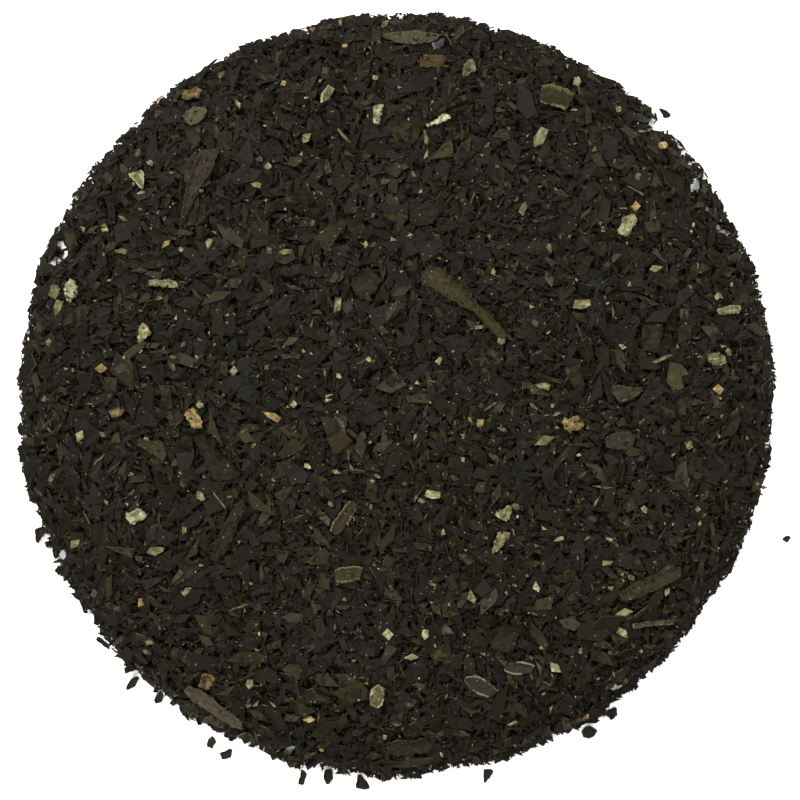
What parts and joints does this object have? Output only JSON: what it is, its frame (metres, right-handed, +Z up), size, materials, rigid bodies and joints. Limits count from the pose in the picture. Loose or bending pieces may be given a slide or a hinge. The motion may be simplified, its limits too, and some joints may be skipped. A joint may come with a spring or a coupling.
{
  "type": "bed of dried wakame flakes",
  "caption": "Round loose bed of dried dark seaweed flakes, level on top and sloping at the edge, with larger frond pieces and pale stem bits lying on it and flakes spilled round it.",
  "frame": {"origin": "middle of the bed, on the surface that it lies on", "axes": "+Z up; +Y towards the top of the picture, +X to its right"},
  "size_m": [0.1016, 0.1033, 0.0081],
  "materials": {
    "dark_frond": "dried dark green-black frond, satin, finely wrinkled",
    "olive_frond": "dried olive frond, satin, a little see-through where thin",
    "brown_frond": "dried brown frond, satin, finely wrinkled",
    "grey_frond": "dried grey-olive frond, satin, with pale edges",
    "pale_stem": "dried pale midrib, matt, streaked along its length",
    "tan_stem": "dried tan midrib, matt, streaked along its length"
  },
  "bodies": {
    "root": {"flake_bed": "dark_frond", "frond_strip_middle": "olive_frond", "frond_strip_left": "dark_frond", "frond_strip_upper_left": "dark_frond", "frond_strip_lower_left": "olive_frond", "frond_strip_lower_right": "dark_frond", "frond_strip_lower_edge": "grey_frond", "frond_leaf_top": "grey_frond", "frond_leaf_low": "olive_frond", "frond_leaf_low_right": "grey_frond", "frond_leaf_round": "dark_frond", "frond_chip_top": "brown_frond", "frond_chip_upper_right": "grey_frond", "frond_chip_red_brown": "brown_frond", "frond_chip_upper_middle": "olive_frond", "frond_chip_centre": "olive_frond", "frond_chip_right": "grey_frond", "frond_chip_left": "olive_frond", "frond_chip_rimmed": "olive_frond", "frond_chip_pale_rimmed": "olive_frond", "frond_chip_right_high": "olive_frond", "frond_chip_right_low": "grey_frond", "frond_chip_right_edge": "olive_frond", "frond_chip_upper_left": "grey_frond", "frond_chip_lower_edge": "brown_frond", "stem_bit_top": "pale_stem", "stem_bit_upper_middle": "pale_stem", "stem_bit_silvery": "pale_stem", "stem_bit_upper_left": "tan_stem", "stem_bit_left_high": "pale_stem", "stem_stick_left": "pale_stem", "stem_bit_leafy_left": "pale_stem", "stem_bit_round_left": "pale_stem", "stem_bit_pink_left": "tan_stem", "stem_bit_low_left": "pale_stem", "stem_bit_cream_right": "pale_stem", "stem_stick_right": "pale_stem", "stem_bit_oval_right": "pale_stem", "stem_bit_star_right": "tan_stem", "stem_bit_low_middle": "pale_stem", "stem_bit_striped": "pale_stem", "stem_bit_rimmed_low": "pale_stem", "stem_bit_orange_low": "tan_stem", "stem_stick_low_right": "pale_stem", "spilled_flake_1": "dark_frond", "spilled_flake_2": "dark_frond", "spilled_flake_3": "dark_frond", "spilled_flake_4": "dark_frond", "spilled_flake_5": "olive_frond", "spilled_flake_6": "dark_frond", "spilled_flake_7": "dark_frond", "spilled_flake_8": "olive_frond", "spilled_flake_9": "olive_frond", "spilled_flake_10": "dark_frond", "spilled_flake_11": "dark_frond", "spilled_flake_12": "dark_frond", "spilled_flake_13": "dark_frond", "spilled_flake_14": "dark_frond"}
  },
  "joints": []
}
